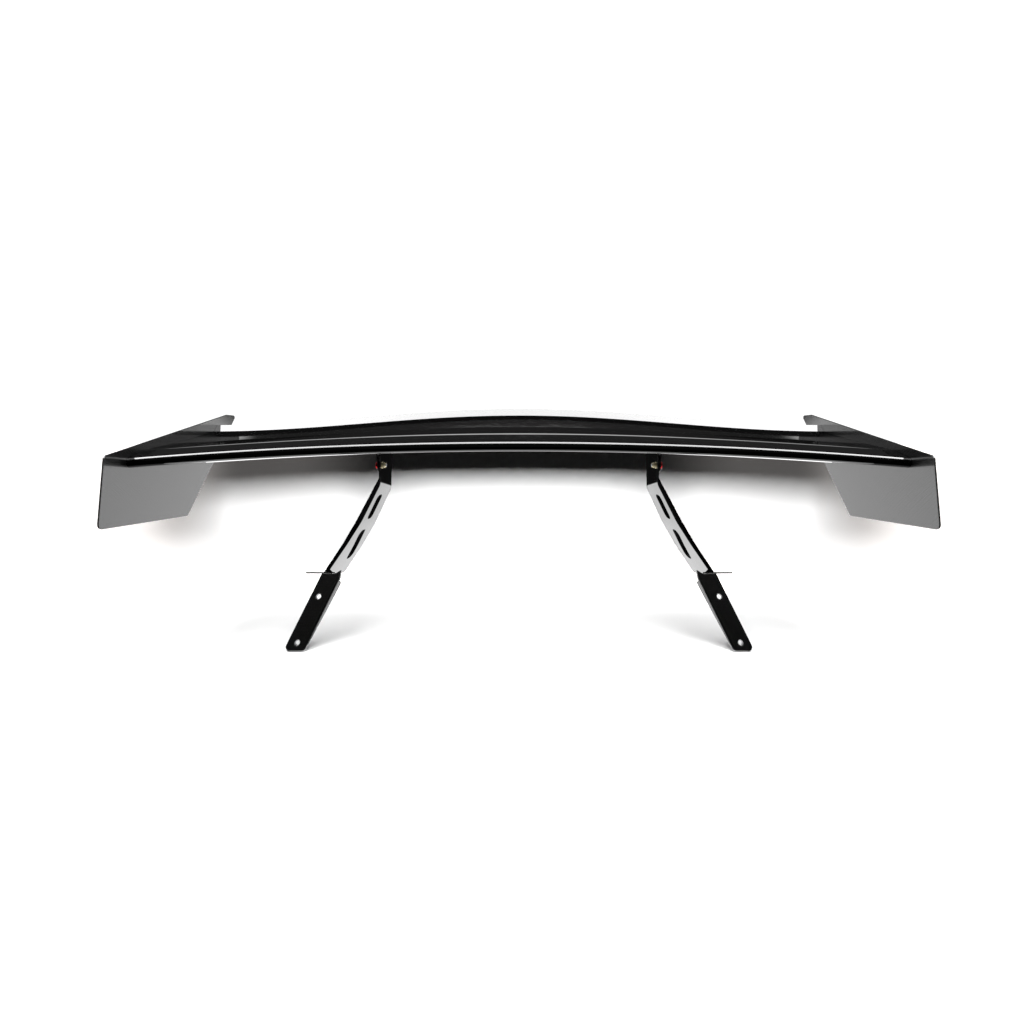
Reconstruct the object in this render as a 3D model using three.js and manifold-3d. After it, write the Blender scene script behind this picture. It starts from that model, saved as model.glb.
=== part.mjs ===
// Racing rear wing on two stands. Millimetres, +Z up, +Y rearward along the car, +X across it.
// The origin is at the middle of the bounding box's bottom. Left is the car's left, +X.
import * as THREE from "three";
import { mergeVertices } from "three/addons/utils/BufferGeometryUtils.js";
import Module from "manifold-3d";

const wasm = await Module();
wasm.setup();

// ---- driving dimensions ----
const GAP = 0.3; // between pieces that touch
const HALF_SPAN = 692; // to the inner face of an endplate
const ENDPLATE_THICK = 3;
const SKIN = 2.5;
const NOSE_Y = -141; // foremost and rearmost reach of the wing section
const TAIL_Y = 141;
const LEAD_ARCH = 29; // rise of the leading and trailing edges at mid span
const TRAIL_ARCH = 36;
const SPAN_STEPS = 18;
const JOIN_Y = 112; // where the lower skin meets the upper skin near the tail
const SPLIT_Z = 349; // where they meet on the nose

// Wing section at the endplate, as corners [y, z, fillet radius].
const NOSE_TOP = [NOSE_Y, 356.5, 8.8];
const NOSE_BOTTOM = [NOSE_Y, 340.3, 8];
const CREASE = [-97, 371.3, 60];
const CROWN = [-20, 384.1, 400];
const LIP_FOOT = [121, 413.1, 3];
const LIP_TOP = [136, 428.8, 0.8];
const LIP_BACK = [140.1, 427.1, 0.8];
const TAIL = [TAIL_Y, 411.5, 1.5];
const BELLY = [-105, 339.5, 120];
const RISE_START = [-20, 360, 600];

const SPAR_THICK = 3;
const FRONT_SPAR_Y = -86;
const REAR_SPAR_Y = 40;
const END_RIB_THICK = 11;
const END_RIB_REAR_Y = 104;
const MOUNT_RIB_X = 258; // inner face
const BELOW_WING = 300; // heights that clear the wing on both sides
const ABOVE_WING = 500;

// Endplate outline, as corners [y, z, fillet radius].
const ENDPLATE = [
  [-213.6, 240.4, 8],
  [11, 234.6, 8],
  [218.6, 455.7, 5],
  [178.8, 455.2, 12],
  [-152, 370.3, 14],
  [-186.6, 361.6, 8],
];
const ENDPLATE_SCREWS_Y = [-104, -12, 60];
const ENDPLATE_SCREW_LENGTH = 13;

// Stand: a vertical tab, a blade that flares outward, a base plate and a foot.
const TAB_X = 266.5; // inner face of the tab
const TAB_THICK = 3;
const BEND_Z = 318; // at the front edge of the blade
const BEND_FALL = 0.148; // how fast the bend line falls towards the rear
const BLADE_FRONT_Y = -62.5;
const STAND_SIDE = [
  [-75.6, 134.4, 0],
  [36, 107.4, 6],
  [18.5, 300.5, 30],
  [34, 378, 9],
  [BLADE_FRONT_Y, 362, 7],
  [BLADE_FRONT_Y, BEND_Z, 40],
];
// Outer and inner face seen from the front at the blade's front edge, as corners [x, z, fillet].
const STAND_OUTER = [
  [TAB_X + TAB_THICK, 420, 0],
  [TAB_X + TAB_THICK, BEND_Z, 10],
  [314.6, 235, 150],
  [343.3, 187, 150],
  [402.8, 100, 0],
];
const STAND_INNER = [
  [394.5, 100, 0],
  [334.5, 186, 150],
  [304.2, 233, 150],
  [TAB_X, 306, 20],
  [TAB_X, 420, 0],
];
const STAND_NEAR = 250; // x values that clear the stand on both sides
const STAND_FAR = 440;
const STAND_FRONT = -90; // y values that do the same
const STAND_REAR = 70;
const SLOT_WIDTH = 26;
const SLOT_FILLET = 9;
// Slots as [top z, bottom z, middle y at the top, middle y at the bottom].
const SLOTS = [
  [283.5, 235, -31, -31],
  [212, 148.5, -27, -3],
];
const BASE_Y = -76.5; // front top edge of the base plate
const BASE_Z = 136.5;
const BASE_THICK = 2.8;
const BASE_OUTER_X = 416.5;
const BASE_FALL = THREE.MathUtils.degToRad(14);
const FOOT_THICK = 6;
const FOOT_TILT = THREE.MathUtils.degToRad(25);
const FOOT_LENGTH = (BASE_Z - FOOT_THICK * Math.sin(FOOT_TILT)) / Math.cos(FOOT_TILT);
const FOOT_SPREAD = 0.375; // outward travel of the foot's edges per length
const FOOT_INNER_X = 342; // inner edge extended up to the base plate
const FOOT_WIDTH = 39;
const FOOT_HOLES = [
  [383.3, 46.9],
  [412, 132.5],
];
const FOOT_HOLE = 5.4; // radius
const BUSH_OUTER = 5.1;
const BUSH_BORE = 4.5;
const RETURN_DEPTH = 12;
const RETURN_THICK = 3;

// Pivot and adjustment.
const PIVOT = [-50.5, 342.5];
const ADJUST = [8, 360];
const ADJUST_ANGLE = THREE.MathUtils.degToRad(6);
const M6 = 3; // shank radius
const HOLE_PLAY = 0.3;
const BLIND_SKIN = 0.6; // left at the end of the adjusting bolt's hole
const WEB_THICK = 2;
const FLANGE_THICK = 3;
const FLANGE_WIDTH = 26;
const FLANGE_Y = [-78, 24];
const BRACKET_SCREWS_Y = [-52, 12];
const BRACKET_SCREW_LENGTH = 14;
const WEB_OUTLINE = [
  [-66, 392, 0],
  [-65, 331, 12],
  [-38, 328.5, 12],
  [22, 342, 10],
  [22, 410, 0],
];
const HEAD = 5.25; // radius of a button head
const HEAD_HEIGHT = 3.2;
const KEY = 4; // across flats of its socket
const CUP_WASHER = 4.5; // thickness of the red cup washer
const CUP_RADIUS = 7.5;
const BOLT_TAIL = 9; // pivot bolt's length beyond the inner face of the tab
const NUT_FLATS = 10;
const NUT_HEIGHT = 5.6;
const NUT_COLLAR_RADIUS = 4.2;
const NUT_COLLAR = 2.2; // height of the collar beyond the flats
const NUT_FLANGE_RADIUS = 6.5;
const NUT_FLANGE = 1.1;
const WASHER_THICK = 1.2;
const WASHER_RADIUS = 7;
const CAP_RADIUS = 5; // adjusting bolt's head
const CAP_HEIGHT = 6;

const WEB_X = TAB_X + TAB_THICK + GAP;

// ---- materials ----
const finish = (color, roughness, metalness) =>
  new THREE.MeshStandardMaterial({ color, roughness, metalness });
const carbon = () => finish(0x0b0c0e, 0.12, 0.0);
const inner = () => finish(0x2a2b2d, 0.6, 0.0);
const aluminium = () => finish(0xb4b6b8, 0.35, 1.0);
const steel = () => finish(0x8f9092, 0.3, 1.0);
const zinc = () => finish(0xb7a578, 0.35, 1.0);
const redAnodised = () => finish(0xa3121b, 0.3, 0.9);
const blackSteel = () => finish(0x17181a, 0.4, 0.8);

// ---- outlines ----
// Corners [a, b, radius] to points: a corner with a radius becomes an arc.
function rounded(corners, closed = true, stepAngle = 0.4) {
  const count = corners.length;
  const points = [];
  corners.forEach(([a, b, radius], i) => {
    const corner = new THREE.Vector2(a, b);
    if (!radius || (!closed && (i === 0 || i === count - 1))) {
      points.push(corner);
      return;
    }
    const before = corners[(i + count - 1) % count];
    const after = corners[(i + 1) % count];
    const into = new THREE.Vector2(before[0] - a, before[1] - b).normalize();
    const out = new THREE.Vector2(after[0] - a, after[1] - b).normalize();
    const turn = Math.PI - Math.acos(THREE.MathUtils.clamp(into.dot(out), -1, 1));
    const reach = radius * Math.tan(turn / 2);
    const start = corner.clone().addScaledVector(into, reach);
    const toCentre = into.clone().add(out).normalize();
    const centre = corner.clone().addScaledVector(toCentre, radius / Math.cos(turn / 2));
    const sweep = -turn * Math.sign(into.cross(out));
    const steps = Math.max(2, Math.ceil(turn / stepAngle));
    for (let k = 0; k <= steps; k += 1) {
      points.push(start.clone().rotateAround(centre, sweep * (k / steps)));
    }
  });
  return points;
}

// An open path moved sideways: positive distances go to the left of its direction.
function offset(points, distance) {
  return points.map((point, i) => {
    const before = points[Math.max(i - 1, 0)];
    const after = points[Math.min(i + 1, points.length - 1)];
    const along = after.clone().sub(before).normalize();
    return new THREE.Vector2(point.x - along.y * distance, point.y + along.x * distance);
  });
}

// Long straight stretches get points in between, so that a swept surface twists evenly.
function refined(points, longest = 60) {
  return points.flatMap((point, i) => {
    const next = points[i + 1];
    if (!next) return [point];
    const steps = Math.max(1, Math.ceil(point.distanceTo(next) / longest));
    return Array.from({ length: steps }, (_, k) => point.clone().lerp(next, k / steps));
  });
}

const openPath = (corners) => refined(rounded(corners, false));

const lineZ = (from, to, y) => from[1] + ((to[1] - from[1]) * (y - from[0])) / (to[0] - from[0]);
function upperZ(y) {
  if (y < CREASE[0]) return lineZ(NOSE_TOP, CREASE, y);
  return y < CROWN[0] ? lineZ(CREASE, CROWN, y) : lineZ(CROWN, LIP_FOOT, y);
}

const lowerZ = (y) => (y < RISE_START[0] ? lineZ(BELLY, RISE_START, y) : lineZ(RISE_START, TAIL, y));

// ---- solids ----
function solid(geometry) {
  const bare = geometry.index ? geometry.toNonIndexed() : geometry.clone();
  bare.deleteAttribute("normal");
  bare.deleteAttribute("uv");
  const merged = mergeVertices(bare, 1e-4);
  const vertProperties = new Float32Array(merged.attributes.position.array);
  const triVerts = new Uint32Array(merged.index.array);
  return new wasm.Manifold(new wasm.Mesh({ numProp: 3, vertProperties, triVerts }));
}

function geometryOf(manifold) {
  const { vertProperties, triVerts, numProp } = manifold.getMesh();
  const positions = [];
  for (let i = 0; i < vertProperties.length; i += numProp) {
    positions.push(vertProperties[i], vertProperties[i + 1], vertProperties[i + 2]);
  }
  const geometry = new THREE.BufferGeometry();
  geometry.setAttribute("position", new THREE.Float32BufferAttribute(positions, 3));
  geometry.setIndex(Array.from(triVerts));
  geometry.computeVertexNormals();
  return geometry;
}

function prism(points, depth, axisU, axisV, origin) {
  const geometry = new THREE.ExtrudeGeometry(new THREE.Shape(points), { depth, bevelEnabled: false });
  const axisW = axisU.clone().cross(axisV);
  geometry.applyMatrix4(new THREE.Matrix4().makeBasis(axisU, axisV, axisW).setPosition(origin));
  return solid(geometry);
}

const X = new THREE.Vector3(1, 0, 0);
const Y = new THREE.Vector3(0, 1, 0);
const Z = new THREE.Vector3(0, 0, 1);
const alongX = (points, x0, x1) => prism(points, x1 - x0, Y, Z, new THREE.Vector3(x0, 0, 0));
const alongY = (points, y0, y1) => prism(points, y1 - y0, X, Z, new THREE.Vector3(0, y1, 0));

function block(x0, x1, y0, y1, z0, z1) {
  const geometry = new THREE.BoxGeometry(x1 - x0, y1 - y0, z1 - z0);
  geometry.translate((x0 + x1) / 2, (y0 + y1) / 2, (z0 + z1) / 2);
  return solid(geometry);
}

// A turned piece: profile [radius, distance along the axis], from a point in a direction.
function turned(profile, from, direction, segments = 16) {
  const points = profile.map(([r, h]) => new THREE.Vector2(r, h));
  const geometry = new THREE.LatheGeometry(points, segments);
  const turn = new THREE.Quaternion().setFromUnitVectors(Y, direction);
  geometry.applyQuaternion(turn);
  geometry.translate(from.x, from.y, from.z);
  return solid(geometry);
}

function rod(radius, from, direction, length, segments = 16) {
  return turned([[0, 0], [radius, 0], [radius, length], [0, length]], from, direction, segments);
}

// ---- wing shape ----
// How far the section is lifted at a place along the span.
function rise(x, y) {
  const back = THREE.MathUtils.clamp((y - NOSE_Y) / (TAIL_Y - NOSE_Y), 0, 1);
  const out = x / HALF_SPAN;
  const lead = LEAD_ARCH * (1 - out * out);
  const trail = TRAIL_ARCH * 0.5 * (1 + Math.cos(Math.PI * out));
  return lead + (trail - lead) * back;
}

// A closed section swept along the span between two places.
function loft(outline, x0, x1, steps) {
  const points = THREE.ShapeUtils.isClockWise(outline) ? [...outline].reverse() : outline;
  const count = points.length;
  const positions = [];
  const faces = [];
  for (let s = 0; s <= steps; s += 1) {
    const x = x0 + ((x1 - x0) * s) / steps;
    points.forEach((p) => positions.push(x, p.x, p.y + rise(x, p.x)));
  }
  for (let s = 0; s < steps; s += 1) {
    for (let i = 0; i < count; i += 1) {
      const j = (i + 1) % count;
      const here = s * count;
      const next = here + count;
      // The same diagonal on neighbouring surfaces, and its mirror image on the other half.
      const rearward = points[j].x >= points[i].x;
      const leftHalf = x0 + ((x1 - x0) * (s + 0.5)) / steps > 0;
      if (rearward === leftHalf) {
        faces.push(here + i, here + j, next + j, here + i, next + j, next + i);
      } else {
        faces.push(here + i, here + j, next + i, here + j, next + j, next + i);
      }
    }
  }
  const last = steps * count;
  THREE.ShapeUtils.triangulateShape(points, []).forEach(([a, b, c]) => {
    faces.push(c, b, a, last + a, last + b, last + c);
  });
  const geometry = new THREE.BufferGeometry();
  geometry.setAttribute("position", new THREE.Float32BufferAttribute(positions, 3));
  geometry.setIndex(faces);
  return solid(geometry);
}

const wholeSpan = HALF_SPAN - GAP;
const upperFront = (endY) => [[NOSE_Y, SPLIT_Z, 0], NOSE_TOP, CREASE, CROWN, [endY, upperZ(endY), 0]];
const lowerFront = (endY) => [
  [NOSE_Y, SPLIT_Z - GAP, 0],
  NOSE_BOTTOM,
  BELLY,
  RISE_START,
  [endY, lowerZ(endY), 0],
];

function upperSkin() {
  const outer = openPath([
    ...upperFront(JOIN_Y).slice(0, 4),
    LIP_FOOT,
    LIP_TOP,
    LIP_BACK,
    TAIL,
    [JOIN_Y, lowerZ(JOIN_Y), 0],
  ]);
  const inside = offset(openPath(upperFront(JOIN_Y)), -SKIN).reverse();
  return loft([...outer, ...inside], -wholeSpan, wholeSpan, SPAN_STEPS);
}

function lowerSkin() {
  const outer = openPath(lowerFront(JOIN_Y - GAP));
  const topside = offset(outer, SKIN).reverse();
  return loft([...outer, ...topside], -wholeSpan, wholeSpan, SPAN_STEPS);
}

// The space inside the skins, less the gap: spars and ribs are cut from it.
function core() {
  const top = offset(openPath(upperFront(JOIN_Y)), -SKIN - GAP);
  const bottom = offset(openPath(lowerFront(JOIN_Y - GAP)), SKIN + GAP).reverse();
  return loft([...top, ...bottom], -wholeSpan, wholeSpan, SPAN_STEPS);
}

// The lower surface moved down by a distance, as a path between two y values.
function underside(y0, y1, down) {
  return offset(openPath([[y0, lowerZ(y0), 0], RISE_START, [y1, lowerZ(y1), 0]]), -down);
}

// A point on the lower surface and the direction straight out of it.
function lowerPoint(x, y) {
  const z = (px, py) => lowerZ(py) + rise(px, py);
  const slopeX = z(x + 1, y) - z(x, y);
  const slopeY = z(x, y + 1) - z(x, y);
  return { at: new THREE.Vector3(x, y, z(x, y)), down: new THREE.Vector3(slopeX, slopeY, -1).normalize() };
}

// ---- fasteners, all for the left side ----
function hexagon(radius) {
  return Array.from({ length: 6 }, (_, i) => {
    const angle = (i * Math.PI) / 3;
    return new THREE.Vector2(radius * Math.cos(angle), radius * Math.sin(angle));
  });
}

// A hexagonal bar along a direction.
function hexBar(acrossFlats, from, direction, length) {
  const radius = acrossFlats / Math.sqrt(3);
  const geometry = new THREE.ExtrudeGeometry(new THREE.Shape(hexagon(radius)), {
    depth: length,
    bevelEnabled: false,
  });
  geometry.applyQuaternion(new THREE.Quaternion().setFromUnitVectors(Z, direction));
  geometry.translate(from.x, from.y, from.z);
  return solid(geometry);
}

// A button-head screw: the head stands on the seat and the shank goes the other way.
function buttonScrew(seat, outward, shank) {
  const profile = [
    [0, -shank],
    [M6, -shank],
    [M6, 0],
    [HEAD, 0],
    [HEAD * 0.9, HEAD_HEIGHT * 0.6],
    [HEAD * 0.6, HEAD_HEIGHT],
    [0, HEAD_HEIGHT],
  ];
  const socketFrom = seat.clone().addScaledVector(outward, HEAD_HEIGHT - 2);
  return turned(profile, seat, outward).subtract(hexBar(KEY, socketFrom, outward, KEY));
}

function holeAt([y, z], radius) {
  return rod(radius, new THREE.Vector3(STAND_NEAR, y, z), X, STAND_FAR - STAND_NEAR);
}

// The slot that the adjusting bolt runs in: a ring segment about the pivot with round ends.
function adjustSlot() {
  const radius = Math.hypot(ADJUST[0] - PIVOT[0], ADJUST[1] - PIVOT[1]);
  const middle = Math.atan2(ADJUST[1] - PIVOT[1], ADJUST[0] - PIVOT[0]);
  const half = M6 + HOLE_PLAY;
  const outline = [];
  const arc = (centre, r, from, to, steps) => {
    for (let i = 0; i <= steps; i += 1) {
      const angle = from + ((to - from) * i) / steps;
      outline.push(new THREE.Vector2(centre[0] + r * Math.cos(angle), centre[1] + r * Math.sin(angle)));
    }
  };
  const end = (angle) => [PIVOT[0] + radius * Math.cos(angle), PIVOT[1] + radius * Math.sin(angle)];
  const low = middle - ADJUST_ANGLE;
  const high = middle + ADJUST_ANGLE;
  arc(PIVOT, radius + half, low, high, 4);
  arc(end(high), half, high, high + Math.PI, 8);
  arc(PIVOT, radius - half, high, low, 4);
  arc(end(low), half, low + Math.PI, low + 2 * Math.PI, 8);
  return solid(
    new THREE.ExtrudeGeometry(new THREE.Shape(outline), { depth: 40, bevelEnabled: false }).applyMatrix4(
      new THREE.Matrix4().makeBasis(Y, Z, X).setPosition(WEB_X - 10, 0, 0),
    ),
  );
}

function bracketScrewPlaces() {
  const x = WEB_X + FLANGE_WIDTH * 0.58;
  return BRACKET_SCREWS_Y.map((y) => {
    const { at, down } = lowerPoint(x, y);
    return { seat: at.addScaledVector(down, FLANGE_THICK + 3 * GAP), down };
  });
}

function bracketScrewHoles() {
  return bracketScrewPlaces().map(({ seat, down }) => {
    const from = seat.clone().addScaledVector(down, -16);
    return rod(M6 + HOLE_PLAY, from, down, 26);
  });
}

const endScrewPlaces = () => ENDPLATE_SCREWS_Y.map((y) => [y, (upperZ(y) + lowerZ(y)) / 2]);

function endScrewHoles() {
  const from = HALF_SPAN - 2 * END_RIB_THICK;
  const length = 3 * END_RIB_THICK;
  return endScrewPlaces().map((at) => rod(M6 + HOLE_PLAY, new THREE.Vector3(from, ...at), X, length));
}

const cut = (body, tools) => tools.reduce((left, tool) => left.subtract(tool), body);

// ---- pieces of the left side ----
function endplate() {
  const plate = alongX(rounded(ENDPLATE), HALF_SPAN, HALF_SPAN + ENDPLATE_THICK);
  return cut(plate, endScrewHoles());
}

function endRib() {
  const inside = HALF_SPAN - GAP - END_RIB_THICK;
  const room = block(inside, HALF_SPAN, NOSE_Y, END_RIB_REAR_Y, BELOW_WING, ABOVE_WING);
  return cut(core().intersect(room), endScrewHoles());
}

function mountRib() {
  const front = FRONT_SPAR_Y + SPAR_THICK + GAP;
  const outside = WEB_X + FLANGE_WIDTH;
  const room = block(MOUNT_RIB_X, outside, front, REAR_SPAR_Y - GAP, BELOW_WING, ABOVE_WING);
  return cut(core().intersect(room), bracketScrewHoles());
}

function spar(y) {
  const half = HALF_SPAN - END_RIB_THICK - 2 * GAP;
  return core().intersect(block(-half, half, y, y + SPAR_THICK, BELOW_WING, ABOVE_WING));
}

function bracket() {
  const x1 = WEB_X + FLANGE_WIDTH;
  const [front, rear] = FLANGE_Y;
  const flangeOutline = [
    ...underside(front, rear, GAP),
    ...underside(front, rear, GAP + FLANGE_THICK).reverse(),
  ];
  const flange = loft(flangeOutline, WEB_X, x1, 2);
  const room = [...underside(front - 20, rear + 20, GAP + 0.2)];
  const belowWing = loft(
    [...room, new THREE.Vector2(rear + 20, 280), new THREE.Vector2(front - 20, 280)],
    WEB_X - 1,
    WEB_X + WEB_THICK + 1,
    2,
  );
  const web = alongX(rounded(WEB_OUTLINE), WEB_X, WEB_X + WEB_THICK).intersect(belowWing);
  return cut(flange.add(web), [holeAt(PIVOT, M6 + HOLE_PLAY), adjustSlot(), ...bracketScrewHoles()]);
}

// Tab and blade: a bent plate seen from the front, trimmed to its outline seen from the side.
function tabAndBlade() {
  const section = rounded([...STAND_OUTER, ...STAND_INNER]);
  const depth = STAND_REAR - STAND_FRONT;
  const geometry = new THREE.ExtrudeGeometry(new THREE.Shape(section), { depth, bevelEnabled: false });
  const upright = new THREE.Matrix4().makeBasis(X, Z, Y.clone().negate());
  geometry.applyMatrix4(upright.setPosition(0, STAND_REAR, 0));
  const fall = new THREE.Matrix4().makeShear(0, 0, 0, -BEND_FALL, 0, 0);
  geometry.translate(0, -BLADE_FRONT_Y, 0).applyMatrix4(fall).translate(0, BLADE_FRONT_Y, 0);
  const side = alongX(rounded(STAND_SIDE), STAND_NEAR, STAND_FAR);
  return solid(geometry).intersect(side);
}

function slotTool([top, low, topY, lowY]) {
  const half = SLOT_WIDTH / 2;
  const outline = rounded([
    [topY - half, top, SLOT_FILLET],
    [lowY - half, low, SLOT_FILLET],
    [lowY + half, low, SLOT_FILLET],
    [topY + half, top, SLOT_FILLET],
  ]);
  return alongX(outline, STAND_NEAR, STAND_FAR);
}

// A piece drawn in the foot's plane: [x, length down the foot], from its face backwards.
function inFootPlane(points, depth) {
  const down = new THREE.Vector3(0, -Math.sin(FOOT_TILT), -Math.cos(FOOT_TILT));
  return prism(points, depth, X, down, new THREE.Vector3(0, BASE_Y, BASE_Z));
}

const footNormal = new THREE.Vector3(0, -Math.cos(FOOT_TILT), Math.sin(FOOT_TILT));
const footInner = (length) => FOOT_INNER_X + FOOT_SPREAD * length;

function foot() {
  const outerAt = (length) => footInner(length) + FOOT_WIDTH;
  return inFootPlane(
    rounded([
      [345, -1, 1],
      [355, 3, 8],
      [outerAt(4), 2, 1],
      [outerAt(FOOT_LENGTH), FOOT_LENGTH, 8],
      [footInner(FOOT_LENGTH), FOOT_LENGTH, 8],
      [footInner(12), 12, 10],
    ]),
    FOOT_THICK,
  );
}

// A lip turned back along the foot's inner edge, deep at the top and running out at the bottom.
function footReturn() {
  const down = new THREE.Vector3(0, -Math.sin(FOOT_TILT), -Math.cos(FOOT_TILT));
  const along = X.clone().multiplyScalar(FOOT_SPREAD).add(down);
  const stretch = along.length();
  const outline = rounded([
    [16 * stretch, 0, 0],
    [(FOOT_LENGTH - 12) * stretch, 0, 0],
    [(FOOT_LENGTH - 12) * stretch, FOOT_THICK - 1, 0],
    [24 * stretch, FOOT_THICK + RETURN_DEPTH, 8],
    [16 * stretch, FOOT_THICK + RETURN_DEPTH, 6],
  ]);
  const origin = new THREE.Vector3(FOOT_INNER_X, BASE_Y, BASE_Z);
  return prism(outline, RETURN_THICK, along.normalize(), footNormal.clone().negate(), origin);
}

function basePlate() {
  const outline = rounded([
    [356, 0, 3],
    [BASE_OUTER_X, 0, 6],
    [BASE_OUTER_X - 5, 114, 16],
    [384, 114, 0],
    [377, 40, 30],
  ]);
  const rearward = new THREE.Vector3(0, Math.cos(BASE_FALL), -Math.sin(BASE_FALL));
  const up = X.clone().cross(rearward);
  const origin = new THREE.Vector3(0, BASE_Y, BASE_Z).addScaledVector(up, -BASE_THICK);
  return prism(outline, BASE_THICK, X, rearward, origin);
}

function footHolePlace([x, length]) {
  const y = BASE_Y - length * Math.sin(FOOT_TILT);
  const z = BASE_Z - length * Math.cos(FOOT_TILT);
  return new THREE.Vector3(x, y, z);
}

function stand() {
  const whole = tabAndBlade().add(basePlate()).add(foot()).add(footReturn());
  const footHoles = FOOT_HOLES.map((place) => {
    const from = footHolePlace(place).addScaledVector(footNormal, -2 * FOOT_THICK);
    return rod(FOOT_HOLE, from, footNormal, 4 * FOOT_THICK);
  });
  const blind = rod(M6 + HOLE_PLAY, new THREE.Vector3(TAB_X + BLIND_SKIN, ...ADJUST), X, 2 * TAB_THICK);
  return cut(whole, [...SLOTS.map(slotTool), ...footHoles, blind, holeAt(PIVOT, M6 + HOLE_PLAY)]);
}

function footBush(place) {
  const start = footHolePlace(place).addScaledVector(footNormal, -FOOT_THICK);
  const profile = [
    [BUSH_BORE, 0],
    [BUSH_OUTER, 0],
    [BUSH_OUTER, FOOT_THICK],
    [BUSH_BORE, FOOT_THICK],
    [BUSH_BORE, 0],
  ];
  return turned(profile, start, footNormal);
}

const washerX = WEB_X + WEB_THICK + GAP;

function pivotWasher() {
  const profile = [
    [M6 + HOLE_PLAY, 0],
    [CUP_RADIUS, 0],
    [CUP_RADIUS, 1.2],
    [CUP_RADIUS - 1.1, CUP_WASHER],
    [CUP_RADIUS - 1.6, CUP_WASHER],
    [M6 + HOLE_PLAY, CUP_WASHER - 2.6],
    [M6 + HOLE_PLAY, 0],
  ];
  return turned(profile, new THREE.Vector3(washerX, ...PIVOT), X);
}

function pivotBolt() {
  const inside = TAB_X - GAP - BOLT_TAIL;
  const length = washerX + CUP_WASHER - inside;
  const profile = [
    [0, 0],
    [M6, 0],
    [M6, length - 2.5],
    [M6 + 2.5, length],
    [0, length],
  ];
  const from = new THREE.Vector3(inside, ...PIVOT);
  const socket = hexBar(KEY, from.clone().setX(inside + length - 2), X, KEY);
  return turned(profile, from, X).subtract(socket);
}

function pivotNut() {
  const from = new THREE.Vector3(TAB_X - GAP, ...PIVOT);
  const inward = X.clone().negate();
  const collar = rod(NUT_COLLAR_RADIUS, from, inward, NUT_HEIGHT + NUT_COLLAR);
  const flange = rod(NUT_FLANGE_RADIUS, from, inward, NUT_FLANGE);
  const bore = rod(M6 + 0.15, from.clone().setX(from.x + 1), inward, 2 * NUT_HEIGHT);
  return hexBar(NUT_FLATS, from, inward, NUT_HEIGHT).add(collar).add(flange).subtract(bore);
}

function adjustWasher() {
  const profile = [
    [M6 + HOLE_PLAY, 0],
    [WASHER_RADIUS, 0],
    [WASHER_RADIUS, WASHER_THICK],
    [M6 + HOLE_PLAY, WASHER_THICK],
    [M6 + HOLE_PLAY, 0],
  ];
  return turned(profile, new THREE.Vector3(washerX, ...ADJUST), X);
}

function adjustBolt() {
  const seat = washerX + WASHER_THICK + GAP;
  const shank = seat - (TAB_X + BLIND_SKIN + GAP);
  const profile = [
    [0, -shank],
    [M6, -shank],
    [M6, 0],
    [CAP_RADIUS, 0],
    [CAP_RADIUS, CAP_HEIGHT],
    [0, CAP_HEIGHT],
  ];
  const from = new THREE.Vector3(seat, ...ADJUST);
  const socket = hexBar(CAP_RADIUS, from.clone().setX(seat + CAP_HEIGHT / 2), X, CAP_HEIGHT);
  return turned(profile, from, X).subtract(socket);
}

// ---- assembly ----
const wing = new THREE.Group();
const stands = new THREE.Group();
const group = new THREE.Group();
group.add(wing, stands);

function place(parent, name, body, material) {
  const mesh = new THREE.Mesh(geometryOf(body), material);
  mesh.name = name;
  parent.add(mesh);
}

place(
  wing,
  "wing_lower_skin",
  cut(lowerSkin(), [...bracketScrewHoles(), ...bracketScrewHoles().map((hole) => hole.mirror([1, 0, 0]))]),
  carbon(),
);
place(wing, "wing_upper_skin", upperSkin(), carbon());
place(wing, "front_spar", spar(FRONT_SPAR_Y), inner());
place(wing, "rear_spar", spar(REAR_SPAR_Y), inner());

for (const side of ["left", "right"]) {
  const wingSide = new THREE.Group();
  const standSide = new THREE.Group();
  if (side === "right") {
    wingSide.scale.x = -1;
    standSide.scale.x = -1;
  }
  wing.add(wingSide);
  stands.add(standSide);

  place(wingSide, `endplate_${side}`, endplate(), carbon());
  place(wingSide, `end_rib_${side}`, endRib(), inner());
  place(wingSide, `mount_rib_${side}`, mountRib(), inner());
  place(wingSide, `wing_bracket_${side}`, bracket(), blackSteel());
  endScrewPlaces().forEach((at, i) => {
    const seat = new THREE.Vector3(HALF_SPAN + ENDPLATE_THICK + GAP, ...at);
    const which = ["front", "middle", "rear"][i];
    const screw = buttonScrew(seat, X, ENDPLATE_SCREW_LENGTH);
    place(wingSide, `endplate_screw_${side}_${which}`, screw, blackSteel());
  });
  bracketScrewPlaces().forEach(({ seat, down }, i) => {
    const which = ["front", "rear"][i];
    const screw = buttonScrew(seat, down, BRACKET_SCREW_LENGTH);
    place(wingSide, `bracket_screw_${side}_${which}`, screw, steel());
  });

  place(standSide, `stand_${side}`, stand(), carbon());
  FOOT_HOLES.forEach((at, i) => {
    const which = ["upper", "lower"][i];
    place(standSide, `foot_bush_${side}_${which}`, footBush(at), aluminium());
  });
  place(standSide, `pivot_washer_${side}`, pivotWasher(), redAnodised());
  place(standSide, `pivot_bolt_${side}`, pivotBolt(), steel());
  place(standSide, `pivot_nut_${side}`, pivotNut(), zinc());
  place(standSide, `adjust_washer_${side}`, adjustWasher(), steel());
  place(standSide, `adjust_bolt_${side}`, adjustBolt(), blackSteel());
}

export default group;
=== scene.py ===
"""Racing rear wing on two stands: fine pieces, materials, light and camera around the CAD frame.

Shapes are worked out in millimetres, as in the CAD part. They become metres when a mesh is made.
"""

import math
from functools import reduce

import bmesh
import bpy
import numpy as np
from mathutils import Matrix, Vector
from mathutils.geometry import tessellate_polygon


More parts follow.
